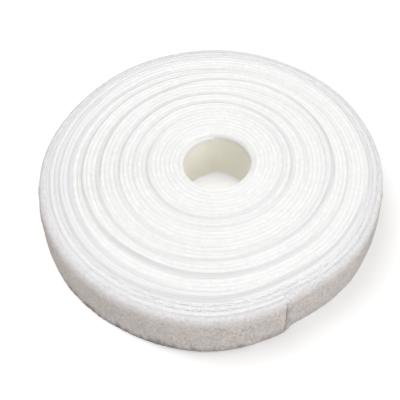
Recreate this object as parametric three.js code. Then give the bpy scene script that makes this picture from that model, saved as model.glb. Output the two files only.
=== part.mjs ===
// A roll of white back-to-back hook and loop tape. The tape has a brushed loop layer on its outside
// and an ivory hook layer on its inside. Both are wound together as one spiral with no core.
// The roll lies on its side: +Z runs up along the bore, and the outermost turn stands on Z = 0.
// The origin is the middle of the base. Lengths are in millimetres.
import * as THREE from "three";

// Tape
const tape_width = 20;
const loop_thickness = 1; // woven ground and pile
const hook_thickness = 0.5; // film and hooks
const hook_margin = 0.5; // the hook layer stops this far short of both selvedges
const clearance = 0.3; // between the two layers, and between one turn and the next

// Winding
const bore_radius = 10.5; // at the inner face of the first turn, where the inner end starts
const bore_shift = 0.6; // the bore lies this far off the middle of the outermost turn, towards +X
const dome_height = 4.6; // the first turn stands this much above the outermost one
const ridge_height = 0.4; // the last turn before each ledge stands this much above its neighbours
const turn = 2 * Math.PI;
const steps_per_turn = 24;
const wound_steps = 539; // 22 whole turns and 11 steps, up to the root of the free end
const inner_end_angle = THREE.MathUtils.degToRad(94); // seen from above, from +X towards +Y
const oval_share = 0.024; // the roll is this much longer along its oval angle
const oval_angle = THREE.MathUtils.degToRad(45);

// Ledges: rings where the turns step down towards the outside. Their places and widths are shares of the
// tape's turns, counted from the bore, and their drops are shares of the dome's height, 1 in all.
// The last turn lies on the table.
const ledge_place_shares = [0.25, 0.33, 0.45, 0.6, 0.7, 0.78, 0.86, 0.93];
const ledge_drop_shares = [0.07, 0.08, 0.1, 0.17, 0.15, 0.1, 0.15, 0.18];
const ledge_width_share = 0.03;
const ridge_inset_share = 0.035; // from the middle of a ledge to the ridge inside it
const ridge_width_share = 0.05;

// Free end
const tail_angle = THREE.MathUtils.degToRad(36); // the part that peels off, as an angle of the roll
const tail_steps = 8;

const pitch = hook_thickness + clearance + loop_thickness + clearance;
const loop_depth = hook_thickness + clearance; // from the hook layer's inner face to the loop layer's
const wound_angle = (wound_steps / steps_per_turn) * turn;
const whole_angle = wound_angle + tail_angle;

// Plan

// A point of the plan, at an angle wound from the inner end and a depth outside the tape's inner face
function plan_point(wound, depth) {
  const angle = inner_end_angle + wound;
  const oval = 1 + oval_share * Math.cos(2 * (angle - oval_angle));
  const radius = (bore_radius + (pitch * wound) / turn + depth) * oval;
  const middle = bore_shift * (1 - wound / whole_angle);
  return new THREE.Vector2(middle + radius * Math.cos(angle), radius * Math.sin(angle));
}

// Height of the tape's lower edge above the table
function lift(wound) {
  const share = wound / whole_angle;
  let height = 0;
  ledge_place_shares.forEach((place_share, index) => {
    const start = place_share - ledge_width_share / 2;
    const beyond = THREE.MathUtils.smoothstep(share, start, start + ledge_width_share);
    height += dome_height * ledge_drop_shares[index] * (1 - beyond);
    const off_ridge = Math.abs(share - place_share + ridge_inset_share);
    height += ridge_height * (1 - THREE.MathUtils.smoothstep(off_ridge, 0, ridge_width_share / 2));
  });
  return height;
}

// Strips

// The four corners of a layer's section: inner and outer at the bottom, then outer and inner at the top
function section(wound, layer) {
  const inner = plan_point(wound, layer.depth);
  const outer = plan_point(wound, layer.depth + layer.thickness);
  const bottom = lift(wound) + layer.margin;
  const top = lift(wound) + tape_width - layer.margin;
  return [
    [inner.x, inner.y, bottom],
    [outer.x, outer.y, bottom],
    [outer.x, outer.y, top],
    [inner.x, inner.y, top],
  ];
}

// One unbroken strip of a layer between two wound angles, closed by a square cut at each end
function strip(layer, from, to, steps) {
  const corners = [];
  for (let step = 0; step <= steps; step += 1) {
    corners.push(...section(from + ((to - from) * step) / steps, layer));
  }
  const sides = 4;
  const faces = [0, 1, 2, 0, 2, 3];
  for (let step = 0; step < steps; step += 1) {
    for (let side = 0; side < sides; side += 1) {
      const here = step * sides + side;
      const beside = step * sides + ((side + 1) % sides);
      faces.push(here, here + sides, beside + sides, here, beside + sides, beside);
    }
  }
  const end = steps * sides;
  faces.push(end, end + 3, end + 2, end, end + 2, end + 1);
  const geometry = new THREE.BufferGeometry();
  geometry.setAttribute("position", new THREE.Float32BufferAttribute(corners.flat(), 3));
  geometry.setIndex(faces);
  geometry.computeVertexNormals();
  return geometry;
}

// The least distance between the outer face of each turn and the inner face of the next, in the plan
function least_gap(layer) {
  const outer_points = [];
  const inner_points = [];
  for (let half = 0; half < 2 * wound_steps; half += 1) {
    const step = Math.floor(half / 2);
    for (const [points, depth] of [
      [outer_points, layer.depth + layer.thickness],
      [inner_points, layer.depth],
    ]) {
      const start = plan_point((step * turn) / steps_per_turn, depth);
      const finish = plan_point(((step + 1) * turn) / steps_per_turn, depth);
      points.push(half % 2 ? start.lerp(finish, 0.5) : start);
    }
  }
  let least = Infinity;
  const half_turn = steps_per_turn;
  outer_points.forEach((outer, place) => {
    for (let other = place + half_turn; other < inner_points.length; other += 1) {
      least = Math.min(least, outer.distanceTo(inner_points[other]));
    }
  });
  return least;
}

// Layers

const hook_layer = {
  name: "hook_layer",
  depth: 0,
  thickness: hook_thickness,
  margin: hook_margin,
  material: new THREE.MeshStandardMaterial({ color: 0xdcd5bf, roughness: 0.5, metalness: 0 }),
};
const loop_layer = {
  name: "loop_layer",
  depth: loop_depth,
  thickness: loop_thickness,
  margin: 0,
  material: new THREE.MeshStandardMaterial({ color: 0xf3f3f1, roughness: 1, metalness: 0 }),
};

const wound_tape = new THREE.Group();
const free_end = new THREE.Group();
for (const layer of [hook_layer, loop_layer]) {
  const wound = new THREE.Mesh(strip(layer, 0, wound_angle, wound_steps), layer.material);
  wound.name = `${layer.name}_wound`;
  wound_tape.add(wound);

  const outermost = bore_radius + (pitch * wound_angle) / turn;
  const root = wound_angle + clearance / outermost;
  const tail = new THREE.Mesh(strip(layer, root, whole_angle, tail_steps), layer.material);
  tail.name = `${layer.name}_tail`;
  free_end.add(tail);

  console.log(`${wound.name}: least gap to itself ${least_gap(layer).toFixed(2)} mm`);
}

// Assembly, with the middle of its outline over the origin

const roll = new THREE.Group();
roll.add(wound_tape, free_end);
const middle = new THREE.Box3().setFromObject(roll).getCenter(new THREE.Vector3());
roll.position.set(-middle.x, -middle.y, 0);

const part = new THREE.Group();
part.add(roll);

export default part;
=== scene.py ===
"""A roll of white back-to-back hook and loop tape, lying on a pale table.

The tape is one long strip: a woven ground with a brushed loop pile on its outside, and an ivory film with
moulded hooks on its inside. It is wound without a core. The winding, the selvedge stitches, the pile, the
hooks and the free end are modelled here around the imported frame. Lengths are in metres.
"""

import math

import bpy
import numpy as np
from mathutils import Matrix, Vector


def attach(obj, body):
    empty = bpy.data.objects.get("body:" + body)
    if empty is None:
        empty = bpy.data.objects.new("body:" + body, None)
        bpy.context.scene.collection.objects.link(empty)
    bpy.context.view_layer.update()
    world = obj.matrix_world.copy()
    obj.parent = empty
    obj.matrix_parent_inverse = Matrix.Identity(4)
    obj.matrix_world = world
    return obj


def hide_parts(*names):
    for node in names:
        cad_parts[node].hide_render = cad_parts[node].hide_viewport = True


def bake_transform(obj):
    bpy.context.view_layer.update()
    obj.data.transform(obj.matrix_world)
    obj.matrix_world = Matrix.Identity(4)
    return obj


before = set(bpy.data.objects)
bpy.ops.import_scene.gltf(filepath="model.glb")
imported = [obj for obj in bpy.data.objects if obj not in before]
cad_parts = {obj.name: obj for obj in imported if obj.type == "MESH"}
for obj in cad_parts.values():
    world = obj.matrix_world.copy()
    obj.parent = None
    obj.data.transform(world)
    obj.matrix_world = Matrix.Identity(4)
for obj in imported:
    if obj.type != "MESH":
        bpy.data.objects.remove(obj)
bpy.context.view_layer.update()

mm = 0.001
turn = 2 * math.pi

# Tape
tape_width = 20 * mm
film_thickness = 0.24 * mm
hook_height = 0.3 * mm
ground_thickness = 0.6 * mm
layer_gap = 0.02 * mm

# Winding: the turns of the photograph, from the inner end in the bore to the free end
bore_radius = 10.5 * mm
outer_radius = 58.6 * mm
bore_shift = 0.9 * mm
outer_middle = Vector((0.51 * mm, 0.71 * mm))
inner_end_angle = math.radians(94)
whole_turns = 30.5586
tail_angle = math.radians(36)
root_margin = 15 * mm
oval_share = 0.024
oval_angle = math.radians(45)
pitch = (outer_radius - bore_radius) / (whole_turns + 1)
dome_height = 4.6 * mm

whole_angle = whole_turns * turn
root_angle = whole_angle - tail_angle

# The foot of the tape's outer face carries painted shade where it meets the table, most of all on one side
# and in the notches. The shares say how dark it stays on the far side and off the notches, how high it
# reaches, and how much higher in them.
foot_angle = math.radians(220)
foot_height = 5.8 * mm
foot_blend = 0.3 * mm
foot_far_share = 0.12
foot_plain_share = 0.7
foot_reach_share = 0.75
foot_notch_reach_share = 0.5

# Small uneven notches in the lower edge of the last turns, lower on the far side. They fade in over a length,
# and the foot's painted shade is darkest from a share of their height upwards.
notch_height = 1.3 * mm
notch_spacing = 1.9 * mm
notch_width_share = 0.45
notch_far_share = 0.45
notch_dark_share = 0.6
notched_turns = 1.3
notch_fade = 20 * mm

# How far the outermost turn bulges beyond the oval, every 30 degrees from +X, as shares of its radius
bulge_shares = (0.005, -0.007, -0.015, 0.0, 0.008, -0.001, 0.009, -0.001, -0.006, 0.009, -0.014, 0.008)

# Ledges: rings where the turns step down towards the outside, from the bore outwards. A ledge has its places
# as shares of the outer radius, every 30 degrees from +X, and how far it has formed at each place. Where it
# hasn't formed it keeps a share of its drop. Its upper edge is rounded, and a low ridge runs along it.
ledge_place_shares = (
    (0.397, 0.399, 0.403, 0.399, 0.393, 0.387, 0.393, 0.399, 0.403, 0.404, 0.399, 0.397),
    (0.446, 0.448, 0.456, 0.469, 0.476, 0.469, 0.469, 0.480, 0.471, 0.461, 0.455, 0.449),
    (0.536, 0.532, 0.533, 0.548, 0.555, 0.551, 0.552, 0.566, 0.577, 0.582, 0.555, 0.538),
    (0.650, 0.648, 0.629, 0.617, 0.617, 0.617, 0.617, 0.623, 0.623, 0.621, 0.629, 0.638),
    (0.689, 0.694, 0.698, 0.685, 0.662, 0.667, 0.665, 0.682, 0.683, 0.665, 0.664, 0.670),
    (0.782, 0.782, 0.772, 0.760, 0.754, 0.760, 0.764, 0.759, 0.746, 0.753, 0.760, 0.769),
    (0.847, 0.835, 0.810, 0.791, 0.810, 0.822, 0.829, 0.829, 0.835, 0.847, 0.841, 0.847),
    (0.907, 0.907, 0.909, 0.912, 0.906, 0.897, 0.891, 0.891, 0.893, 0.886, 0.870, 0.878),
    (0.960, 0.960, 0.960, 0.960, 0.955, 0.955, 0.955, 0.955, 0.955, 0.955, 0.955, 0.955),
)
ledge_formed_shares = (
    (0.5, 0.5, 0.3, 0.05, 0.1, 0.5, 0.7, 0.7, 0.6, 0.6, 0.6, 0.6),
    (0.8, 0.9, 0.8, 0.7, 0.5, 0.35, 0.25, 0.15, 0.2, 0.4, 0.5, 0.6),
    (0.35, 0.6, 0.7, 0.75, 0.7, 0.6, 0.5, 0.45, 0.4, 0.25, 0.15, 0.2),
    (0.4, 0.4, 0.25, 0.1, 0.05, 0.05, 0.05, 0.1, 0.15, 0.25, 0.3, 0.3),
    (1.0, 1.15, 1.1, 0.6, 0.6, 0.55, 0.5, 0.45, 0.5, 0.6, 0.7, 0.8),
    (0.5, 0.4, 0.15, 0.15, 0.4, 0.45, 0.5, 0.65, 1.0, 1.0, 0.9, 0.6),
    (0.1, 0.1, 0.15, 0.35, 0.45, 0.5, 0.5, 0.6, 0.5, 0.15, 0.1, 0.1),
    (0.6, 0.5, 0.2, 0.1, 0.1, 0.15, 0.2, 0.55, 0.7, 0.95, 1.0, 0.8),
    (0.3, 0.3, 0.3, 0.3, 0.3, 0.3, 0.3, 0.3, 0.3, 0.3, 0.3, 0.3),
)
ledge_drop_shares = (0.05, 0.08, 0.09, 0.05, 0.16, 0.13, 0.11, 0.17, 0.16)
ledge_width_share = 0.045
ledge_inset_share = 0.012
ledge_kept_share = 0.4
ledge_round_share = 0.12
ridge_height = 0.28 * mm
ridge_width_share = 0.045

# The dark just outside a ledge: where it starts, is full and fades, as shares of the outer radius. It is
# deeper on one side, by the swing's share.
shade_angle = math.radians(300)
shade_swing_share = 0.28
shade_lead_share = 0.004
shade_start_share = 0.013
shade_full_share = 0.007
shade_fade_share = 0.04

# The innermost turns have slipped down a little, most of all on one side, and are in the dark there
dip_depth = 2.9 * mm
dip_angle = math.radians(90)
dip_width = 3.6 * mm
dip_shade_share = 0.5

# The film is whitest down to this length below its upper edge, and fades to ivory over the width
selvedge_length = 0.1 * mm
selvedge_width = 3 * mm

# The inner end is squeezed thin over its first length
pinch_share = 0.3
pinch_length = 17 * mm

# The outer turns are fluffier than the inner ones, and carry painted shade, from this share of the radius
zone_share = 0.85
zone_swing_share = 0.035
zone_swing_angle = math.radians(30)
zone_blend_share = 0.025


# Places on the tape


def tape_length(angle):
    """Length of tape from the inner end to a wound angle."""
    return bore_radius * angle + pitch * angle**2 / (2 * turn)


def wound_angle(length):
    """The wound angle at a length of tape from the inner end."""
    growth = pitch / turn
    return (np.sqrt(bore_radius**2 + 2 * growth * length) - bore_radius) / growth


def angles_between(start, end, spacing):
    """Wound angles from start to end, evenly spaced along the tape."""
    lengths = tape_length(start), tape_length(end)
    count = max(2, round((lengths[1] - lengths[0]) / spacing) + 1)
    return wound_angle(np.linspace(*lengths, count))


def smoothstep(value):
    """0 up to 0, 1 from 1 on, and smooth between."""
    value = np.clip(value, 0, 1)
    return value * value * (3 - 2 * value)


def drift(angle, seed, amount, spacing):
    """Slow uneven values along the tape, from a row of random ones joined smoothly."""
    generator = np.random.RandomState(seed)
    length = tape_length(angle) / spacing
    values = generator.uniform(-amount, amount, int(tape_length(whole_angle) / spacing) + 3)
    before = np.floor(length).astype(int)
    blend = smoothstep(length - before)
    return values[before] * (1 - blend) + values[before + 1] * blend


def tufts(angle, height, seed, spacing):
    """Uneven values from -1 to 1 over the tape's face, from a grid of random ones joined smoothly."""
    generator = np.random.RandomState(seed)
    length = tape_length(angle) / spacing
    height = (height + tape_width) / spacing
    shape = int(tape_length(whole_angle) / spacing) + 3, int(3 * tape_width / spacing) + 3
    values = generator.uniform(-1, 1, shape)
    column = np.floor(length).astype(int)
    row = np.floor(height).astype(int)
    along = smoothstep(length - column)
    across = smoothstep(height - row)
    lower = values[column, row] * (1 - along) + values[column + 1, row] * along
    upper = values[column, row + 1] * (1 - along) + values[column + 1, row + 1] * along
    return lower * (1 - across) + upper * across


def around(values, direction):
    """The value in a direction, from values that stand evenly around the roll, joined smoothly."""
    place = np.mod(direction, turn) / turn * len(values)
    before = np.floor(place).astype(int)
    blend = smoothstep(place - before)
    values = np.array(values)
    after = (before + 1) % len(values)
    return values[before % len(values)] * (1 - blend) + values[after] * blend


def turned_to(direction, side):
    """1 in the direction of one side of the roll and 0 on the opposite side."""
    return 0.5 + 0.5 * np.cos(direction - side)


def radius_share(angle, depth):
    """Distance from the roll's middle as a share of the outer radius, as if the roll were round."""
    return (bore_radius + pitch * angle / turn + depth) / outer_radius


def near_bore(share):
    """1 at the bore's wall and 0 from the dip's width outwards, at a share of the outer radius."""
    return 1 - smoothstep((share * outer_radius - bore_radius) / dip_width)


def lift(angle, depth=0.0):
    """Height of the tape's lower edge above the table, at a depth outside the tape's inner face."""
    direction = inner_end_angle + angle
    share = radius_share(angle, depth)
    height = 0.0
    total = 0.0
    ridges = 0.0
    for places, formed, drop in zip(ledge_place_shares, ledge_formed_shares, ledge_drop_shares):
        beyond = share - around(places, direction) + ledge_inset_share
        strength = around(formed, direction)
        part = drop * (ledge_kept_share + (1 - ledge_kept_share) * strength)
        across = np.clip(beyond / ledge_width_share, 0, 1)
        remaining = (1 - across**2 * (1 + ledge_round_share) / (across + ledge_round_share)) ** 2
        height = height + part * remaining
        total = total + part
        ridges = ridges + strength * remaining * smoothstep(beyond / ridge_width_share + 1)
    dip = dip_depth * turned_to(direction, dip_angle) * near_bore(share)
    return dome_height * height / total + ridge_height * ridges - dip


def pinched(angle, depth):
    """A depth in the tape, moved towards its outer face where the inner end is squeezed thin."""
    share = pinch_share + (1 - pinch_share) * smoothstep(tape_length(angle) / pinch_length)
    return nested_pile_to - (nested_pile_to - depth) * share


def overshadowed(angle, depth):
    """How much the turns are in the dark just outside a ledge, or where they dip into the bore.

    The dark starts sharply at a ledge and fades outwards. It is deepest on one side of the roll.
    """
    direction = inner_end_angle + angle
    share = radius_share(angle, depth)
    darkness = 0.0
    for places, formed in zip(ledge_place_shares, ledge_formed_shares):
        beyond = share - around(places, direction) + ledge_inset_share
        starts = smoothstep((beyond + shade_lead_share) / shade_start_share)
        fades = smoothstep((beyond - shade_full_share) / shade_fade_share)
        darkness = np.maximum(darkness, around(formed, direction) * starts * (1 - fades))
    darkness = darkness * (1 + shade_swing_share * np.cos(direction - shade_angle))
    return np.maximum(darkness, dip_shade_share * near_bore(share) * turned_to(direction, dip_angle))


def outer_zone(angle, depth):
    """0 on the smooth inner turns and 1 on the fluffy outer ones. The border swings out to one side."""
    border = zone_share + zone_swing_share * np.cos(inner_end_angle + angle - zone_swing_angle)
    return smoothstep((radius_share(angle, depth) - border) / zone_blend_share)


def plan(angle, depth):
    """Places in the plan, at a depth outside the tape's inner face."""
    direction = inner_end_angle + angle
    wound_share = angle / whole_angle
    out_of_round = around(bulge_shares, direction) * wound_share**2
    oval = 1 + oval_share * np.cos(2 * (direction - oval_angle)) + out_of_round
    radius = (bore_radius + pitch * angle / turn + depth) * oval
    middle = bore_shift * (1 - wound_share)
    x = outer_middle.x + middle + radius * np.cos(direction)
    y = outer_middle.y + radius * np.sin(direction)
    return x, y


# Making strips

merge_distance = 0.0005 * mm
smooth_angle = math.radians(55)
roughness_spacing = 1.1 * mm
edge_drift_spacing = 22 * mm


def deselect_all():
    for piece in bpy.context.selected_objects:
        piece.select_set(False)


def mark(piece, name, values):
    """Values that the materials read, one for each point of the piece."""
    attribute = piece.data.attributes.new(name=name, type="FLOAT", domain="POINT")
    attribute.data.foreach_set("value", values.astype(np.float32).ravel())


def on_dark_side(angle):
    """1 where the foot's painted shade is darkest, and 0 from a quarter of the roll away."""
    return np.clip(np.cos(inner_end_angle + angle - foot_angle), 0, 1)


def scallops(angle):
    """How far the outermost turn's lower edge stands off the table, in small uneven notches."""
    past_start = tape_length(angle) - tape_length(whole_angle - notched_turns * turn)
    off_notch = np.abs(drift(angle, seed=55, amount=1.0, spacing=notch_spacing))
    notch = 1 - np.clip(off_notch / notch_width_share, 0, 1)
    height = notch_height * notch * (notch_far_share + (1 - notch_far_share) * on_dark_side(angle))
    return height * smoothstep(past_start / notch_fade)


def foot(angle, height, depth):
    """How much painted shade the foot of the tape's outer face carries, where it meets the table.

    It is darkest on one side of the roll and in the notches.
    """
    outside = smoothstep((depth - ground_to) / foot_blend)
    notch = np.clip(scallops(angle) / (notch_dark_share * notch_height), 0, 1)
    reach = foot_height * (foot_reach_share + foot_notch_reach_share * notch)
    by_side = foot_far_share + (1 - foot_far_share) * on_dark_side(angle)
    by_notch = foot_plain_share + (1 - foot_plain_share) * notch
    return (1 - smoothstep(height / reach)) * by_side * by_notch * outside


def selvedge(angle, height, depth):
    """1 at the tape's upper edge, and 0 from a little way down it."""
    below_edge = tape_width + lift(angle, depth) - height
    return 1 - smoothstep((below_edge - selvedge_length) / selvedge_width)


def lay_strip(name, angles, depths, heights):
    """A closed strip along the winding. Depths and heights hold one section for each angle."""
    steps = len(angles) - 1
    sides = depths.shape[1]
    deselect_all()
    bpy.ops.mesh.primitive_grid_add(x_subdivisions=steps, y_subdivisions=sides)
    strip = bpy.context.object
    strip.name = name
    strip.data.name = name
    wrapped = np.arange(sides + 1) % sides
    depth_rows = depths[:, wrapped].T
    height_rows = heights[:, wrapped].T
    x, y = plan(angles[None, :], depth_rows)
    points = np.stack([x, y, height_rows], -1).reshape(-1, 3)
    strip.data.vertices.foreach_set("co", points.astype(np.float32).ravel())

    across = np.hypot(np.diff(depth_rows, axis=0), np.diff(height_rows, axis=0))
    across = np.vstack([np.zeros(steps + 1), np.cumsum(across, axis=0)])
    along = np.broadcast_to(tape_length(angles), across.shape)
    vertex_uv = np.stack([along, across], -1).reshape(-1, 2)
    corner_vertices = np.zeros(len(strip.data.loops), np.int32)
    strip.data.loops.foreach_get("vertex_index", corner_vertices)
    strip.data.uv_layers.active.data.foreach_set("uv", vertex_uv[corner_vertices].astype(np.float32).ravel())
    mark(strip, "overshadowed", overshadowed(angles[None, :], depth_rows))
    mark(strip, "outer_zone", outer_zone(angles[None, :], depth_rows))
    mark(strip, "foot", foot(angles[None, :], height_rows, depth_rows))
    mark(strip, "selvedge", selvedge(angles[None, :], height_rows, depth_rows))
    strip.data.update()

    bpy.ops.object.mode_set(mode="EDIT")
    bpy.ops.mesh.select_all(action="SELECT")
    bpy.ops.mesh.remove_doubles(threshold=merge_distance)
    bpy.ops.mesh.fill_holes(sides=0)
    bpy.ops.mesh.normals_make_consistent(inside=False)
    bpy.ops.object.mode_set(mode="OBJECT")
    bpy.ops.object.shade_smooth_by_angle(angle=smooth_angle)
    return strip


def edge_section(edge_depths, edge_drops):
    """Depths and heights of a strip whose two edges are alike.

    An edge's points run from the outside of the roll to its inside.
    """
    top = tape_width - edge_drops
    return np.concatenate([edge_depths, edge_depths[::-1]]), np.concatenate([top, edge_drops[::-1]])


def wind_section(name, angles, section, edge_drift, roughness, seed, sunk=0.0):
    """A strip with one section, whose upper edge rises and falls a little and is a little rough.

    In the outer zone the upper edge lies deeper between its neighbours, by the sunk length.
    """
    depths, heights = section
    depths = pinched(angles[:, None], depths[None, :])
    rows = heights[None, :] + lift(angles[:, None], depths)
    rough = [drift(angles, seed + 1 + place, roughness, roughness_spacing) for place in range(len(heights))]
    rough = np.stack(rough, 1)
    uneven = drift(angles, seed, edge_drift, edge_drift_spacing)[:, None] + rough
    uneven = uneven - sunk * outer_zone(angles[:, None], depths)
    raised = scallops(angles)
    raised = np.maximum(raised, np.maximum(np.roll(raised, 1), np.roll(raised, -1)))[:, None]
    rows = rows + np.where(heights[None, :] > tape_width / 2, uneven, np.abs(rough) + raised)
    return lay_strip(name, angles, depths, rows)


def lay_thread(name, angles, depth, heights, radii):
    """A round thread along the tape, with its own radius at each angle."""
    thread_angles = np.arange(thread_sides) * turn / thread_sides
    depths = pinched(angles, depth)[:, None] + radii[:, None] * np.cos(thread_angles)[None, :]
    rows = heights[:, None] + radii[:, None] * np.sin(thread_angles)[None, :]
    return lay_strip(name, angles, depths, rows)


# The tape's layers, from the inside out

tape_step = 1.1 * mm
tail_step = 0.5 * mm

film_from = hook_height
film_to = film_from + film_thickness
ground_from = film_to + layer_gap
ground_to = ground_from + ground_thickness
nested_pile_to = pitch + film_from - layer_gap

tail_start = wound_angle(tape_length(root_angle) - root_margin)
wound_angles = angles_between(0, tail_start, tape_step)
tail_angles = angles_between(tail_start, whole_angle, tail_step)

# The fabric's edge: low pile outside, then the ground's firm selvedge. Each point lies off one of the layers'
# faces, and a little below the top of the edge.
fabric_edge_faces = np.array(
    [nested_pile_to, nested_pile_to, ground_to, ground_to, ground_to, ground_from, ground_from]
)
fabric_edge_depths = fabric_edge_faces + np.array([0.0, -0.12, 0.2, 0.02, -0.12, 0.1, 0.0]) * mm
fabric_edge_drops = np.array([0.05, 0.03, 0.03, 0.01, 0.0, 0.0, 0.02]) * mm
film_edge_depths = np.array([film_to, (film_from + film_to) / 2, film_from, film_from, film_from, film_from])
film_edge_drops = np.array([0.1, 0.07, 0.09, 0.8, 1.7, 3.0]) * mm

fabric_section = edge_section(fabric_edge_depths, fabric_edge_drops)
film_section = edge_section(film_edge_depths, film_edge_drops)

fabric_edge = {"edge_drift": 0.03 * mm, "roughness": 0.02 * mm, "seed": 11}
film_edge = {"edge_drift": 0.02 * mm, "roughness": 0.01 * mm, "seed": 31, "sunk": 0.08 * mm}
loop_tape_wound = wind_section("loop_tape_wound", wound_angles, fabric_section, **fabric_edge)
hook_film_wound = wind_section("hook_film_wound", wound_angles, film_section, **film_edge)
loop_tape_tail = wind_section("loop_tape_tail", tail_angles, fabric_section, **fabric_edge)
hook_film_tail = wind_section("hook_film_tail", tail_angles, film_section, **film_edge)


# Pile on the outermost turn: a fluffy coat that stands proud, and is flattened where the free end lies on it

pile_proud = 1.0 * mm
pile_crest = 0.35 * mm
pile_swell_power = 2.2
pile_rows = 42
coat_step = 0.5 * mm
tail_coat_step = 0.45 * mm
coat_overhang_angle = 0.011

# Two sizes of tufts. Near the tape's edges they are lower, down to the share.
tuft_height = 0.22 * mm
tuft_spacing = 3.4 * mm
curl_height = 0.12 * mm
curl_spacing = 1.1 * mm
edge_tuft_share = 0.1

# The pile is flat under the free end, springs up past the tip, and falls off past the tape's own end
press_clearance = 0.01 * mm
spring_length = 0.9 * mm
spring_lead_share = 0.6
fall_length = 0.6 * mm
brushed_height = 1.4 * mm
brushed_start = 0.3 * mm
brushed_length = 5.5 * mm

# The coat's round crest at the upper edge, and its back on the ground
crest_angles = np.radians([20, 40, 60, 80, 100, 125])[None, :]
crest_inset = 0.3 * mm
crest_drop = 1.2 * mm
crest_rise = 0.05 * mm
crest_rough_share = 0.05
crest_tuft_length = 6 * mm
crest_tuft_spacing = 1.3 * mm
back_inset = 0.08 * mm
back_drop = 0.1 * mm
back_clearance = 0.2 * mm

flat_pile_to = nested_pile_to + press_clearance
crest_middle = ground_from + crest_inset
crest_base = tape_width - crest_drop
tip_angle = whole_angle - turn
pile_start = tail_start - turn


def stands(angle):
    """How freely the pile stands: 0 under the free end and past its tip, 1 where nothing lies on it."""
    length = tape_length(angle)
    uncovered = smoothstep((length - tape_length(tip_angle)) / spring_length + spring_lead_share)
    return uncovered * smoothstep((tape_length(whole_angle) - length) / fall_length + 1)


def brushed_up(angle):
    """How far the pile rises just past the tip, where the cut end has brushed it up."""
    past_tip = tape_length(angle) - tape_length(tip_angle)
    risen = smoothstep(past_tip / brushed_start)
    return brushed_height * risen * (1 - smoothstep(past_tip / brushed_length))


def pile_surface(angle, height):
    """Depth of the pile's face at a height up the tape."""
    off_middle = np.abs(2 * height / tape_width - 1)
    swell = np.sqrt(1 - np.clip(off_middle, 0, 1) ** pile_swell_power)
    uneven = tuft_height * tufts(angle, height, 51, tuft_spacing)
    uneven = uneven + curl_height * tufts(angle, height, 52, curl_spacing)
    uneven = uneven * (edge_tuft_share + (1 - edge_tuft_share) * swell**2)
    proud = stands(angle) * (pile_proud * swell + uneven)
    return flat_pile_to + proud + brushed_up(angle) * smoothstep(2 * swell)


def lay_pile(name, angles):
    """The coat of pile as a closed strip: its face, its round crest and its back."""
    angles = angles[:, None]
    low_edge = scallops(angles)
    face_heights = low_edge + (crest_base - low_edge) * np.linspace(0, 1, pile_rows)[None, :]
    face_depths = pile_surface(angles, face_heights)
    reach = face_depths[:, -1:] - crest_middle
    rise = crest_drop + crest_rise + pile_crest * stands(angles)
    crest_tufts = tufts(angles, crest_tuft_length * crest_angles, 53, crest_tuft_spacing)
    crest_rough = 1 + crest_rough_share * crest_tufts
    crest_depths = crest_middle + reach * crest_rough * np.cos(crest_angles)
    crest_heights = crest_base + rise * crest_rough * np.sin(crest_angles)
    back_depths = np.full((len(angles), 2), ground_from + back_inset)
    back_heights = [np.full_like(angles, tape_width - back_drop), low_edge + back_clearance]
    depths = np.concatenate([face_depths, crest_depths, back_depths], 1)
    heights = np.concatenate([face_heights, crest_heights, *back_heights], 1)
    return lay_strip(name, angles[:, 0], depths, heights)


coat_end = whole_angle + coat_overhang_angle
pile_coat_wound = lay_pile("pile_coat_wound", angles_between(pile_start, tail_start, coat_step))
pile_coat_tail = lay_pile("pile_coat_tail", angles_between(tail_start, coat_end, tail_coat_step))


# Loops and hooks: one of each is modelled, then copied over the tape

# Where the leg of a hook is cut, in shares of its arch's height, and the way that the cut faces
hook_cut_shares = (0.35, 0, 0.3)
hook_cut_normal = (-0.55, 0, 0.83)

# How far a copy may stand off its own place, in shares of the spacing
jitter_share = 0.45


def take_pattern(piece):
    """Points and faces of a finished small piece, which is then removed."""
    points = np.array([corner.co for corner in piece.data.vertices])
    faces = [list(face.vertices) for face in piece.data.polygons]
    mesh = piece.data
    bpy.data.objects.remove(piece)
    bpy.data.meshes.remove(mesh)
    return points, faces


def cut_away(below, normal):
    """Cuts the piece in edit mode, removes what lies behind the cut and closes it."""
    bpy.ops.mesh.select_all(action="SELECT")
    bpy.ops.mesh.bisect(plane_co=below, plane_no=normal, use_fill=True, clear_inner=True)


def model_arch(thread_radius, segments, sides):
    """Half a ring of thread, 1 high and 2 wide, standing on its two ends along X, and still in edit mode."""
    deselect_all()
    bpy.ops.mesh.primitive_torus_add(
        major_segments=segments,
        minor_segments=sides,
        major_radius=1,
        minor_radius=thread_radius,
        rotation=(math.pi / 2, 0, 0),
    )
    bpy.ops.object.transform_apply(location=False, rotation=True, scale=False)
    bpy.ops.object.mode_set(mode="EDIT")
    cut_away((0, 0, 0), (0, 0, 1))
    return bpy.context.object


def model_loop():
    """A whole arch of thread."""
    arch = model_arch(thread_radius=0.16, segments=8, sides=3)
    bpy.ops.object.mode_set(mode="OBJECT")
    return take_pattern(arch)


def model_hook():
    """An arch with one leg cut short."""
    arch = model_arch(thread_radius=0.24, segments=8, sides=4)
    cut_away(hook_cut_shares, hook_cut_normal)
    bpy.ops.object.mode_set(mode="OBJECT")
    return take_pattern(arch)


def copy_over(name, pattern, places, axes):
    """Copies of a pattern in one piece.

    Axes hold each copy's three directions, with its sizes as their lengths.
    """
    points, faces = pattern
    corners = places[:, None, :] + np.einsum("pk,nkc->npc", points, axes)
    offsets = np.arange(len(places)) * len(points)
    all_faces = []
    for face in faces:
        all_faces.extend((np.array(face)[None, :] + offsets[:, None]).tolist())
    mesh = bpy.data.meshes.new(name)
    mesh.from_pydata(corners.reshape(-1, 3).tolist(), [], all_faces)
    mesh.update()
    piece = bpy.data.objects.new(name, mesh)
    bpy.context.scene.collection.objects.link(piece)
    deselect_all()
    piece.select_set(True)
    bpy.context.view_layer.objects.active = piece
    bpy.ops.object.shade_smooth()
    return piece


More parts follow.
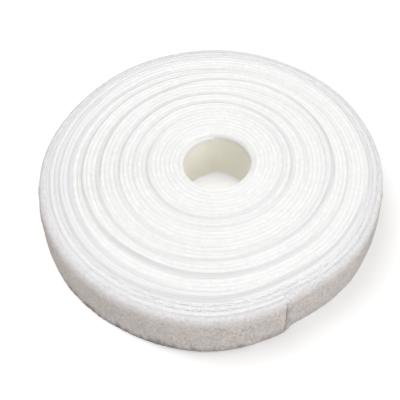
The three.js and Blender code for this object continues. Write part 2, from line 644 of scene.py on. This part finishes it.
def stand_on_tape(angle, depth, height, spin, width, rise, thickness, rising="outward"):
    """Places and axes of copies on the tape, which rise outward, inward or upward."""
    x, y = plan(angle, depth)
    places = np.stack([x, y, height + lift(angle, depth)], -1)
    direction = inner_end_angle + angle
    zero = np.zeros_like(direction)
    outward = np.stack([np.cos(direction), np.sin(direction), zero], -1)
    along = np.stack([-np.sin(direction), np.cos(direction), zero], -1)
    upward = np.stack([zero, zero, zero + 1], -1)
    third, one_way, across = {
        "outward": (outward, along, upward),
        "inward": (-outward, along, upward),
        "upward": (upward, along, outward),
    }[rising]
    first = np.cos(spin)[:, None] * one_way + np.sin(spin)[:, None] * across
    second = np.cross(third, first)
    axes = np.stack([first * width[:, None], second * thickness[:, None], third * rise[:, None]], 1)
    return places, axes


def strew(generator, start, end, heights, spacing):
    """Angles and heights of copies spread evenly, each a little off its own place."""
    lengths = np.arange(tape_length(start), tape_length(end), spacing)
    rows = np.arange(*heights, spacing)
    length_grid, row_grid = np.meshgrid(lengths, rows, indexing="ij")
    length_off = generator.uniform(-jitter_share, jitter_share, length_grid.shape)
    row_off = generator.uniform(-jitter_share, jitter_share, row_grid.shape)
    length_grid = np.clip(length_grid + length_off * spacing, tape_length(start), tape_length(end))
    row_grid = row_grid + row_off * spacing
    return wound_angle(length_grid.ravel()), row_grid.ravel()


def stand_loops(name, generator, angle, depth, height, width, rise):
    """Loops of pile on the tape's outer face, each turned its own way."""
    spin = generator.uniform(0, turn, len(angle))
    places, axes = stand_on_tape(angle, depth, height, spin, width, rise, width)
    loops = copy_over(name, loop_pattern, places, axes)
    mark(loops, "foot", np.repeat(foot(angle, height, depth), len(loop_pattern[0])))
    return loops


loop_pattern = model_loop()
hook_pattern = model_hook()


# Brushed loops over the coat of pile. Under the free end they keep a share of their rise, and near the upper
# edge they lose one.

loop_rows = (0.5 * mm, tape_width + 0.1 * mm)
loop_spacing = 0.74 * mm
loop_clearance = 0.68 * mm
loop_sunk = 0.12 * mm
loop_widths = np.array([0.3, 0.55]) * mm
loop_rises = np.array([0.22, 0.42]) * mm
pressed_rise_share = 0.4
upper_loss_share = 0.5
upper_from = 15 * mm
upper_blend = 4 * mm
tail_end_margin_angle = 0.004


def grow_pile(name, start, end, seed):
    """Brushed loops over the coat of pile."""
    generator = np.random.RandomState(seed)
    angle, height = strew(generator, start, end, loop_rows, loop_spacing)
    clear = height > scallops(angle) + loop_clearance
    angle, height = angle[clear], height[clear]
    depth = pile_surface(angle, height) - loop_sunk
    width = generator.uniform(*loop_widths, len(angle))
    rise = generator.uniform(*loop_rises, len(angle))
    rise = rise * (pressed_rise_share + (1 - pressed_rise_share) * stands(angle))
    rise = rise * (1 - upper_loss_share * smoothstep((height - upper_from) / upper_blend))
    return stand_loops(name, generator, angle, depth, height, width, rise)


pile_middle = (tip_angle + tail_start) / 2
pile_loops_right = grow_pile("pile_loops_right", pile_start, pile_middle, 61)
pile_loops_left = grow_pile("pile_loops_left", pile_middle, tail_start, 62)
pile_loops_tail = grow_pile("pile_loops_tail", tail_start, whole_angle - tail_end_margin_angle, 63)


# Taller loops just past the tip. They are lower and fewer the farther they are from it.

brushed_reach = np.array([0.3, 2.9]) * mm
brushed_rows = (1.8 * mm, tape_width - 0.5 * mm)
brushed_crowding_power = 1.5
brushed_sunk = 0.15 * mm
brushed_widths = np.array([0.35, 0.6]) * mm
brushed_rises = np.array([0.55, 0.35]) * mm
brushed_least_share = 0.6


def brush_up(name, count, seed):
    """Taller loops on the turn below, where the cut end of the tape has brushed them up."""
    generator = np.random.RandomState(seed)
    beyond = generator.uniform(0, 1, count) ** brushed_crowding_power
    angle = tip_angle + (brushed_reach[0] + (brushed_reach[1] - brushed_reach[0]) * beyond) / outer_radius
    height = generator.uniform(*brushed_rows, count)
    depth = pile_surface(angle, height) - brushed_sunk
    width = generator.uniform(*brushed_widths, count)
    tallest = brushed_rises[0] + (brushed_rises[1] - brushed_rises[0]) * beyond
    rise = tallest * generator.uniform(brushed_least_share, 1, count)
    return stand_loops(name, generator, angle, depth, height, width, rise)


brushed_up_pile = brush_up("brushed_up_pile", count=110, seed=64)


# The selvedges of the outer turns stand out most on this side. Their fringe starts at a share of the radius.

bump_angle = math.radians(330)
fringe_start_share = 0.885
fringe_spacing = 0.34 * mm
fringe_depths = (ground_to - 0.2 * mm, nested_pile_to + 0.1 * mm)
fringe_height = tape_width - 0.1 * mm
fringe_widths = np.array([0.25, 0.5]) * mm
fringe_rises = np.array([0.16, 0.36]) * mm
fringe_swing_share = 0.3


def grow_fringe(name, spacing, seed):
    """Loops that stick up between the outer turns, tallest on one side."""
    generator = np.random.RandomState(seed)
    angle = wound_angle(np.arange(tape_length(fringe_start), tape_length(pile_start), spacing))
    count = len(angle)
    depth = generator.uniform(*fringe_depths, count)
    height = np.full(count, fringe_height)
    width = generator.uniform(*fringe_widths, count)
    swing = fringe_swing_share * np.cos(inner_end_angle + angle - bump_angle)
    rise = generator.uniform(*fringe_rises, count) * (1 - fringe_swing_share + swing)
    spin = generator.uniform(0, turn, count)
    places, axes = stand_on_tape(angle, depth, height, spin, width, rise, width, "upward")
    return copy_over(name, loop_pattern, places, axes)


fringe_start = (fringe_start_share * outer_radius - bore_radius) / pitch * turn
pile_fringe = grow_fringe("pile_fringe", fringe_spacing, 71)


# Hooks, in rows on the film's inner face. Each second one is turned round, and each a little off its row.

hook_rows = (0.8 * mm, tape_width - 0.6 * mm)
hook_spacing = 0.95 * mm
hook_width = 0.19 * mm
hook_rise = 0.24 * mm
hook_sunk = 0.01 * mm
hook_spin_angle = 0.3
hooks_start_angle = 0.02
hooks_overlap_angle = 0.1
hooks_end_margin_angle = 0.01


def grow_hooks(name, start, end, seed):
    """Moulded hooks on the film's inner face, in rows."""
    generator = np.random.RandomState(seed)
    angle, height = strew(generator, start, end, hook_rows, hook_spacing)
    count = len(angle)
    width = np.full(count, hook_width)
    rise = np.full(count, hook_rise)
    spin = generator.uniform(-hook_spin_angle, hook_spin_angle, count) + math.pi * (np.arange(count) % 2)
    depth = pinched(angle, film_from + hook_sunk)
    places, axes = stand_on_tape(angle, depth, height, spin, width, rise, width, "inward")
    return copy_over(name, hook_pattern, places, axes)


bore_hooks = grow_hooks("bore_hooks", hooks_start_angle, turn + hooks_overlap_angle, 81)
tail_hooks = grow_hooks("tail_hooks", root_angle, whole_angle - hooks_end_margin_angle, 82)


# Selvedge thread: one stitch beside the next along the fabric's upper edge

thread_sides = 5
stitch_length = 1.15 * mm
inner_stitch_start_angle = 0.05
thread_inset = 0.32 * mm
stitch_drop = 0.07 * mm
outer_stitch_drop = 0.04 * mm
stitch_swing_share = 0.35
stitch_unevenness = 0.02 * mm
plain_bumps = np.array([0.12, 0.17]) * mm
proud_bumps = np.array([0.08, 0.09, 0.21, 0.22]) * mm

inner_stitch_angles = angles_between(inner_stitch_start_angle, fringe_start, stitch_length / len(plain_bumps))
outer_stitch_angles = angles_between(fringe_start, tail_start, stitch_length / len(proud_bumps))
tail_stitches_end = whole_angle - tail_end_margin_angle
tail_stitch_angles = angles_between(tail_start, tail_stitches_end, stitch_length / len(proud_bumps))
thread_depth = ground_from + thread_inset


def sew(name, angles, height, bumps, seed):
    """Stitches along an edge, which stand out most on one side.

    Bumps hold the thread's radii over one stitch.
    """
    generator = np.random.RandomState(seed)
    swing = stitch_swing_share * np.cos(inner_end_angle + angles - bump_angle)
    bump = (np.resize(bumps, len(angles)) - np.mean(bumps)) * (1 - stitch_swing_share + swing)
    uneven = generator.uniform(-stitch_unevenness, stitch_unevenness, len(angles))
    heights = height + lift(angles, pinched(angles, thread_depth))
    return lay_thread(name, angles, thread_depth, heights, np.mean(bumps) + bump + uneven)


stitch_height = tape_width - stitch_drop
outer_stitch_height = tape_width - outer_stitch_drop
inner_stitches = sew("inner_stitches", inner_stitch_angles, stitch_height, plain_bumps, 91)
outer_stitches = sew("outer_stitches", outer_stitch_angles, outer_stitch_height, proud_bumps, 92)
tail_stitches = sew("tail_stitches", tail_stitch_angles, outer_stitch_height, proud_bumps, 93)


# Materials

# Painted shade and light: the near black at the tape's foot, the grey just outside a ledge, the greyer white
# of the fluffy outer turns, the grey in the fabric's hollows, and the whiter pile near the upper edge.
foot_painted_shade = (0.05, 0.042, 0.038, 1)
ledge_grey = (0.745, 0.74, 0.745, 1)
outer_fabric_shade = (0.89, 0.885, 0.91, 1)
fabric_hollow_shade = (0.8, 0.8, 0.79, 1)
pile_painted_light_white = (0.8, 0.79, 0.805, 1)
film_edge_white = (0.87, 0.865, 0.855, 1)

# Fibres are finer than tufts by their ratio. The painted shade of the hollows, and the patches, fade in
# between two values of the noise.
fibres_per_tuft = 4.5
hollow_from = 0.1
hollow_to = 0.42
patch_from = 0.35
patch_to = 0.65

# How strongly the painted shade of hollows, and the weave, show
fabric_hollow_share = 0.35
weave_share = 0.25
pile_hollow_share = 0.6
pile_edge_loss_share = 0.35


def new_group(name, inputs, outputs):
    """An empty node group. Inputs and outputs are pairs of a name and a socket type."""
    group = bpy.data.node_groups.new(name, "ShaderNodeTree")
    for socket_name, socket_type in inputs:
        group.interface.new_socket(name=socket_name, in_out="INPUT", socket_type=socket_type)
    for socket_name, socket_type in outputs:
        group.interface.new_socket(name=socket_name, in_out="OUTPUT", socket_type=socket_type)
    return group, group.nodes.new("NodeGroupInput"), group.nodes.new("NodeGroupOutput")


def add_math(tree, operation, first, second=None, third=None):
    """A Math node fed by sockets or plain numbers, and its output."""
    node = tree.nodes.new("ShaderNodeMath")
    node.operation = operation
    for socket, value in zip(node.inputs, (first, second, third)):
        if isinstance(value, bpy.types.NodeSocket):
            tree.links.new(value, socket)
        elif value is not None:
            socket.default_value = value
    return node.outputs[0]


def add_noise(tree, place, scale, detail):
    """Noise over a place, from 0 to 1, with its scale from a socket."""
    node = tree.nodes.new("ShaderNodeTexNoise")
    node.inputs["Detail"].default_value = detail
    tree.links.new(place, node.inputs["Vector"])
    tree.links.new(scale, node.inputs["Scale"])
    return node.outputs[0]


def add_range(tree, value, low, high, to_low=0.0, to_high=1.0):
    """A Map Range node, smooth between its ends, fed by sockets or plain numbers."""
    node = tree.nodes.new("ShaderNodeMapRange")
    node.interpolation_type = "SMOOTHSTEP"
    tree.links.new(value, node.inputs["Value"])
    for name, bound in (("From Min", low), ("From Max", high), ("To Min", to_low), ("To Max", to_high)):
        if isinstance(bound, bpy.types.NodeSocket):
            tree.links.new(bound, node.inputs[name])
        else:
            node.inputs[name].default_value = bound
    return node.outputs[0]


def add_mix(tree, share, first, second):
    """A colour mix fed by sockets or plain colours."""
    node = tree.nodes.new("ShaderNodeMix")
    node.data_type = "RGBA"
    tree.links.new(share, node.inputs["Factor"])
    for socket, value in ((node.inputs["A"], first), (node.inputs["B"], second)):
        if isinstance(value, bpy.types.NodeSocket):
            tree.links.new(value, socket)
        else:
            socket.default_value = value
    return node.outputs["Result"]


def build_fluff():
    """Uneven pile: tufts of a given size with finer fibres on them, and a mask of the hollows between them
    for painted shade.
    """
    group, given, result = new_group(
        "fluff",
        (("Place", "NodeSocketVector"), ("Tuft Size", "NodeSocketFloat"), ("Fibre Share", "NodeSocketFloat")),
        (("Height", "NodeSocketFloat"), ("Hollow", "NodeSocketFloat")),
    )
    tuft_scale = add_math(group, "DIVIDE", 1.0, given.outputs["Tuft Size"])
    fibre_scale = add_math(group, "MULTIPLY", tuft_scale, fibres_per_tuft)
    tuft_noise = add_noise(group, given.outputs["Place"], tuft_scale, detail=2.0)
    fibre_noise = add_noise(group, given.outputs["Place"], fibre_scale, detail=3.0)
    fibres = add_math(group, "MULTIPLY", fibre_noise, given.outputs["Fibre Share"])
    height = add_math(group, "ADD", tuft_noise, fibres)
    group.links.new(height, result.inputs["Height"])
    hollow_noise = add_math(group, "MULTIPLY_ADD", fibre_noise, -0.5, 1.0)
    hollow = add_math(group, "SUBTRACT", hollow_noise, tuft_noise)
    group.links.new(add_range(group, hollow, hollow_from, hollow_to), result.inputs["Hollow"])
    return group


def build_ribs():
    """Fine ribs along a strip's own map, crossed by the picks of the weave."""
    group, given, result = new_group(
        "woven_ribs",
        (
            ("Map", "NodeSocketVector"),
            ("Rib Spacing", "NodeSocketFloat"),
            ("Pick Spacing", "NodeSocketFloat"),
        ),
        (("Height", "NodeSocketFloat"),),
    )
    split = group.nodes.new("ShaderNodeSeparateXYZ")
    group.links.new(given.outputs["Map"], split.inputs[0])
    picks = add_math(group, "DIVIDE", split.outputs["X"], given.outputs["Pick Spacing"])
    ribs = add_math(group, "DIVIDE", split.outputs["Y"], given.outputs["Rib Spacing"])
    pick_wave = add_math(group, "SINE", add_math(group, "MULTIPLY", picks, turn))
    rib_wave = add_math(group, "SINE", add_math(group, "MULTIPLY", ribs, turn))
    crossed = add_math(group, "MULTIPLY", pick_wave, rib_wave)
    group.links.new(add_math(group, "MULTIPLY_ADD", crossed, 0.5, 0.5), result.inputs["Height"])
    return group


def build_patches():
    """Slow changes between two colours over a surface, as handling and yarn lots leave them."""
    group, given, result = new_group(
        "uneven_tint",
        (
            ("Place", "NodeSocketVector"),
            ("Patch Size", "NodeSocketFloat"),
            ("Colour", "NodeSocketColor"),
            ("Other Colour", "NodeSocketColor"),
        ),
        (("Colour", "NodeSocketColor"),),
    )
    scale = add_math(group, "DIVIDE", 1.0, given.outputs["Patch Size"])
    noise = add_noise(group, given.outputs["Place"], scale, detail=2.0)
    share = add_range(group, noise, patch_from, patch_to)
    mixed = add_mix(group, share, given.outputs["Colour"], given.outputs["Other Colour"])
    group.links.new(mixed, result.inputs["Colour"])
    return group


def build_distance():
    """A mask that rises between two distances from the middle of the outermost turn."""
    group, given, result = new_group(
        "off_middle",
        (("Place", "NodeSocketVector"), ("From Radius", "NodeSocketFloat"), ("To Radius", "NodeSocketFloat")),
        (("Mask", "NodeSocketFloat"),),
    )
    split = group.nodes.new("ShaderNodeSeparateXYZ")
    group.links.new(given.outputs["Place"], split.inputs[0])
    across = add_math(group, "SUBTRACT", split.outputs["X"], outer_middle.x)
    ahead = add_math(group, "SUBTRACT", split.outputs["Y"], outer_middle.y)
    across_square = add_math(group, "POWER", across, 2.0)
    ahead_square = add_math(group, "POWER", ahead, 2.0)
    radius = add_math(group, "SQRT", add_math(group, "ADD", across_square, ahead_square))
    mask = add_range(group, radius, given.outputs["From Radius"], given.outputs["To Radius"])
    group.links.new(mask, result.inputs["Mask"])
    return group


def build_band():
    """A mask that rises between two heights."""
    group, given, result = new_group(
        "rise_upwards",
        (("Place", "NodeSocketVector"), ("From Height", "NodeSocketFloat"), ("To Height", "NodeSocketFloat")),
        (("Mask", "NodeSocketFloat"),),
    )
    split = group.nodes.new("ShaderNodeSeparateXYZ")
    group.links.new(given.outputs["Place"], split.inputs[0])
    mask = add_range(group, split.outputs["Z"], given.outputs["From Height"], given.outputs["To Height"])
    group.links.new(mask, result.inputs["Mask"])
    return group


fluff = build_fluff()
woven_ribs = build_ribs()
rise_upwards = build_band()
uneven_tint = build_patches()
off_middle_mask = build_distance()


def place_group(tree, group, links, **values):
    """A group in a material, with its linked inputs and its own values."""
    node = tree.nodes.new("ShaderNodeGroup")
    node.node_tree = group
    for name, socket in links.items():
        tree.links.new(socket, node.inputs[name])
    for name, value in values.items():
        node.inputs[name.replace("_", " ").title()].default_value = value
    return node


def new_material(name, roughness, sheen=0.0, sheen_roughness=0.5):
    """A material with its tree, its shader and its texture coordinates."""
    material = bpy.data.materials.new(name)
    material.use_nodes = True
    tree = material.node_tree
    shader = tree.nodes["Principled BSDF"]
    shader.inputs["Roughness"].default_value = roughness
    shader.inputs["Specular IOR Level"].default_value = 0.3
    shader.inputs["Sheen Weight"].default_value = sheen
    shader.inputs["Sheen Roughness"].default_value = sheen_roughness
    coordinates = tree.nodes.new("ShaderNodeTexCoord")
    return material, tree, shader, coordinates


def read_mark(tree, name):
    """The values that a piece's points carry under a name."""
    attribute = tree.nodes.new("ShaderNodeAttribute")
    attribute.attribute_name = name
    return attribute.outputs["Fac"]


def shade_ledges(tree, colour):
    """The colour, greyer in the dark just outside a ledge."""
    return add_mix(tree, read_mark(tree, "overshadowed"), colour, ledge_grey)


def paint_foot_shade(tree, colour):
    """The colour, painted almost black as shade where the tape's foot meets the table."""
    return add_mix(tree, read_mark(tree, "foot"), colour, foot_painted_shade)


def add_bump(tree, shader, height, distance, strength):
    """Small relief of a depth, from a height map."""
    bump = tree.nodes.new("ShaderNodeBump")
    bump.inputs["Distance"].default_value = distance
    bump.inputs["Strength"].default_value = strength
    tree.links.new(height, bump.inputs["Height"])
    tree.links.new(bump.outputs["Normal"], shader.inputs["Normal"])


def make_fabric():
    """White woven ground, painted a little greyer and cooler on the outer turns for the shade in their fluff.
    """
    material, tree, shader, coordinates = new_material("fabric_white", roughness=0.9, sheen=0.15)
    place = coordinates.outputs["Object"]
    tint = place_group(
        tree,
        uneven_tint,
        {"Place": place},
        patch_size=2.4 * mm,
        colour=(0.95, 0.95, 0.935, 1),
        other_colour=(0.9, 0.9, 0.895, 1),
    )
    weave = place_group(
        tree, woven_ribs, {"Map": coordinates.outputs["UV"]}, rib_spacing=0.55 * mm, pick_spacing=0.9 * mm
    )
    fuzz = place_group(tree, fluff, {"Place": place}, tuft_size=0.8 * mm, fibre_share=0.6)
    # Painted shade: greyer on the fluffy outer turns, in the hollows of the fuzz, outside the ledges and at
    # the foot.
    outer_shaded = add_mix(tree, read_mark(tree, "outer_zone"), tint.outputs["Colour"], outer_fabric_shade)
    shade = add_math(tree, "MULTIPLY", fuzz.outputs["Hollow"], fabric_hollow_share)
    fuzzy = add_mix(tree, shade, outer_shaded, fabric_hollow_shade)
    tree.links.new(paint_foot_shade(tree, shade_ledges(tree, fuzzy)), shader.inputs["Base Color"])
    height = add_math(tree, "MULTIPLY_ADD", weave.outputs["Height"], weave_share, fuzz.outputs["Height"])
    add_bump(tree, shader, height, distance=0.12 * mm, strength=0.8)
    return material


def make_pile(name, colour, other_colour, hollow_shade_colour, tuft_size):
    """Brushed loops: pale tips, painted shade in the hollows between the tufts and slow patches of a second
    tint.

    Painted light makes the pile whiter, with less painted shade in its hollows, towards the tape's upper
    edge, and painted shade makes it darker at its foot.
    """
    material, tree, shader, coordinates = new_material(
        name, roughness=0.95, sheen=0.25, sheen_roughness=0.6
    )
    place = coordinates.outputs["Object"]
    tint = place_group(
        tree, uneven_tint, {"Place": place}, patch_size=5 * mm, colour=colour, other_colour=other_colour
    )
    tuft = place_group(tree, fluff, {"Place": place}, tuft_size=tuft_size, fibre_share=0.6)
    # Painted light: the pile is whiter, and its hollows less shaded, towards the upper edge.
    upper = place_group(tree, rise_upwards, {"Place": place}, from_height=15.2 * mm, to_height=21.2 * mm)
    whiter = add_mix(tree, upper.outputs["Mask"], tint.outputs["Colour"], pile_painted_light_white)
    strength = add_math(
        tree, "MULTIPLY_ADD", upper.outputs["Mask"], -pile_edge_loss_share, pile_hollow_share
    )
    hollow = add_math(tree, "MULTIPLY", tuft.outputs["Hollow"], strength)
    shaded = add_mix(tree, hollow, whiter, hollow_shade_colour)
    tree.links.new(paint_foot_shade(tree, shaded), shader.inputs["Base Color"])
    add_bump(tree, shader, tuft.outputs["Height"], distance=0.3 * mm, strength=0.8)
    return material


def make_thread():
    """White sewing thread, twisted, a little brighter than the fabric under it."""
    material, tree, shader, coordinates = new_material("thread_white", roughness=0.6, sheen=0.1)
    tint = place_group(
        tree,
        uneven_tint,
        {"Place": coordinates.outputs["Object"]},
        patch_size=3 * mm,
        colour=(0.96, 0.96, 0.96, 1),
        other_colour=(0.92, 0.92, 0.925, 1),
    )
    tree.links.new(shade_ledges(tree, tint.outputs["Colour"]), shader.inputs["Base Color"])
    twist = place_group(
        tree, woven_ribs, {"Map": coordinates.outputs["UV"]}, rib_spacing=0.3 * mm, pick_spacing=0.25 * mm
    )
    add_bump(tree, shader, twist.outputs["Height"], distance=0.04 * mm, strength=0.6)
    return material


def make_film():
    """Ivory film, glossier than the fabric, with a fine moulded grain in rows."""
    material, tree, shader, coordinates = new_material("film_ivory", roughness=0.5)
    tint = place_group(
        tree,
        uneven_tint,
        {"Place": coordinates.outputs["Object"]},
        patch_size=6 * mm,
        colour=(0.99, 0.945, 0.84, 1),
        other_colour=(0.98, 0.955, 0.82, 1),
    )
    whiter = add_mix(tree, read_mark(tree, "selvedge"), tint.outputs["Colour"], film_edge_white)
    tree.links.new(shade_ledges(tree, whiter), shader.inputs["Base Color"])
    grain = place_group(
        tree, woven_ribs, {"Map": coordinates.outputs["UV"]}, rib_spacing=0.5 * mm, pick_spacing=0.5 * mm
    )
    add_bump(tree, shader, grain.outputs["Height"], distance=0.03 * mm, strength=0.5)
    return material


fabric_white = make_fabric()
pile_white = make_pile(
    "pile_white",
    colour=(0.9, 0.9, 0.91, 1),
    other_colour=(0.87, 0.87, 0.88, 1),
    hollow_shade_colour=(0.74, 0.74, 0.75, 1),
    tuft_size=1.2 * mm,
)
# Painted shade: the wall's pile is a darker, rosier copy of the white pile, for the wall that lies in shade.
pile_rosy_shaded = make_pile(
    "pile_rosy_shaded",
    colour=(0.685, 0.62, 0.585, 1),
    other_colour=(0.645, 0.605, 0.57, 1),
    hollow_shade_colour=(0.52, 0.47, 0.445, 1),
    tuft_size=1.1 * mm,
)
film_ivory = make_film()
thread_white = make_thread()

wound_pieces = (
    (loop_tape_wound, "loop_layer", fabric_white),
    (hook_film_wound, "hook_layer", film_ivory),
    (pile_coat_wound, "loop_layer", pile_rosy_shaded),
    (pile_loops_right, "loop_layer", pile_rosy_shaded),
    (pile_loops_left, "loop_layer", pile_rosy_shaded),
    (brushed_up_pile, "loop_layer", pile_rosy_shaded),
    (pile_fringe, "loop_layer", pile_white),
    (bore_hooks, "hook_layer", film_ivory),
    (inner_stitches, "loop_layer", thread_white),
    (outer_stitches, "loop_layer", thread_white),
)
tail_pieces = (
    (loop_tape_tail, "loop_layer", fabric_white),
    (hook_film_tail, "hook_layer", film_ivory),
    (pile_coat_tail, "loop_layer", pile_rosy_shaded),
    (pile_loops_tail, "loop_layer", pile_rosy_shaded),
    (tail_hooks, "hook_layer", film_ivory),
    (tail_stitches, "loop_layer", thread_white),
)


# Riding

for piece, slot, material in wound_pieces:
    piece.data.materials.append(material)
    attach(piece, "roll")
for piece, slot, material in tail_pieces:
    piece.data.materials.append(material)
    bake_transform(piece)

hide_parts("loop_layer_wound")
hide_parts("hook_layer_wound")
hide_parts("loop_layer_tail")
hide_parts("hook_layer_tail")


# Stage

# The floor glows a little inside the bore. To the camera and in reflections it glows all over, more in the
# bore and on the left, where no shadow shows.
floor_size = 6
floor_white = (0.92, 0.92, 0.92, 1)
seen_floor_white = (0.85, 0.85, 0.85, 1)
bore_floor_radius = 13 * mm
outer_floor_radius = 20 * mm
bore_glow = 0.28
seen_bore_glow = 0.44
seen_left_glow = 0.48
seen_right_glow = 0.155
left_glow_to = -35 * mm
right_glow_from = 5 * mm

deselect_all()
bpy.ops.mesh.primitive_plane_add(size=floor_size, location=(0, 0, 0))
floor = bpy.context.object
floor.name = "floor"


def add_glowing(tree, colour, strength):
    """A matt surface that glows white by a strength from a socket."""
    matt = tree.nodes.new("ShaderNodeBsdfDiffuse")
    matt.inputs["Color"].default_value = colour
    glow = tree.nodes.new("ShaderNodeEmission")
    tree.links.new(strength, glow.inputs["Strength"])
    both = tree.nodes.new("ShaderNodeAddShader")
    tree.links.new(matt.outputs[0], both.inputs[0])
    tree.links.new(glow.outputs[0], both.inputs[1])
    return both.outputs[0]


def make_floor():
    """The floor as it lights the roll, and as the camera, reflections and see-through pieces show it."""
    material = bpy.data.materials.new("floor_pale")
    material.use_nodes = True
    tree = material.node_tree
    tree.nodes.remove(tree.nodes["Principled BSDF"])
    place = tree.nodes.new("ShaderNodeTexCoord").outputs["Object"]
    split = tree.nodes.new("ShaderNodeSeparateXYZ")
    tree.links.new(place, split.inputs[0])
    ring = place_group(
        tree, off_middle_mask, {"Place": place}, from_radius=bore_floor_radius, to_radius=outer_floor_radius
    )
    outside_bore = ring.outputs["Mask"]
    glow = add_range(
        tree, split.outputs["X"], left_glow_to, right_glow_from, seen_left_glow, seen_right_glow
    )
    seen_strength = add_range(tree, outside_bore, 0.0, 1.0, seen_bore_glow, glow)
    lit_strength = add_range(tree, outside_bore, 0.0, 0.5, bore_glow, 0.0)
    path = tree.nodes.new("ShaderNodeLightPath")
    seen = add_math(tree, "MAXIMUM", path.outputs["Is Camera Ray"], path.outputs["Is Glossy Ray"])
    seen = add_math(tree, "MAXIMUM", seen, path.outputs["Is Transmission Ray"])
    choice = tree.nodes.new("ShaderNodeMixShader")
    tree.links.new(seen, choice.inputs[0])
    tree.links.new(add_glowing(tree, floor_white, lit_strength), choice.inputs[1])
    tree.links.new(add_glowing(tree, seen_floor_white, seen_strength), choice.inputs[2])
    tree.links.new(choice.outputs[0], tree.nodes["Material Output"].inputs["Surface"])
    return material


floor.data.materials.append(make_floor())

sky_strength = 0.365
world = bpy.data.worlds.new("studio")
bpy.context.scene.world = world
world.use_nodes = True
background = world.node_tree.nodes["Background"]
background.inputs["Color"].default_value = (1, 1, 1, 1)
background.inputs["Strength"].default_value = sky_strength


def add_sun(name, azimuth, elevation, strength, spread):
    """A soft lamp far away. Azimuth 0 stands behind the camera and 90 stands to the right."""
    lamp_data = bpy.data.lights.new(name, "SUN")
    lamp_data.energy = strength
    lamp_data.angle = math.radians(spread)
    lamp = bpy.data.objects.new(name, lamp_data)
    bpy.context.scene.collection.objects.link(lamp)
    azimuth = math.radians(azimuth)
    elevation = math.radians(elevation)
    level = math.cos(elevation)
    towards = Vector((math.sin(azimuth) * level, -math.cos(azimuth) * level, math.sin(elevation)))
    lamp.rotation_mode = "QUATERNION"
    lamp.rotation_quaternion = towards.to_track_quat("Z", "Y")
    lamp.location = towards


add_sun("key_lamp", azimuth=247, elevation=66, strength=1.07, spread=34)
add_sun("side_lamp", azimuth=59, elevation=43, strength=1.33, spread=70)
add_sun("front_lamp", azimuth=5, elevation=47, strength=0.43, spread=50)

# Camera, as in the photograph. It looks past the middle of the outermost turn. That turn is part of a spiral,
# so the middle of its outline lies a little off the spiral's own.

camera_distance_share = 5.5055
camera_elevation = math.radians(51.70)
camera_roll = math.radians(1.07)
aim_right_share = -0.0646
aim_back_share = -0.095
camera_sensor = 36
camera_lens = 84.2
nearest_seen = 0.01
farthest_seen = 20

end_angle = inner_end_angle + whole_angle
rim_shift = pitch / math.pi * Vector((math.sin(end_angle), -math.cos(end_angle)))
rim_middle = (outer_middle + rim_shift).to_3d() + Vector((0, 0, tape_width))
aim_off_middle = Vector((aim_right_share * outer_radius, aim_back_share * outer_radius, -tape_width / 2))
aim = rim_middle + aim_off_middle

camera_data = bpy.data.cameras.new("camera")
camera_data.sensor_width = camera_sensor
camera_data.lens = camera_lens
camera_data.clip_start = nearest_seen
camera_data.clip_end = farthest_seen
camera = bpy.data.objects.new("camera", camera_data)
bpy.context.scene.collection.objects.link(camera)
away = Vector((0, -math.cos(camera_elevation), math.sin(camera_elevation)))
camera.location = rim_middle + camera_distance_share * outer_radius * away
back = (camera.location - aim).normalized()
right = Vector((0, 0, 1)).cross(back).normalized()
up = back.cross(right)
rolled_right = math.cos(camera_roll) * right + math.sin(camera_roll) * up
rolled_up = back.cross(rolled_right)
camera.rotation_mode = "QUATERNION"
camera.rotation_quaternion = Matrix((rolled_right, rolled_up, back)).transposed().to_quaternion()
bpy.context.scene.camera = camera

bpy.context.scene.view_settings.view_transform = "Standard"
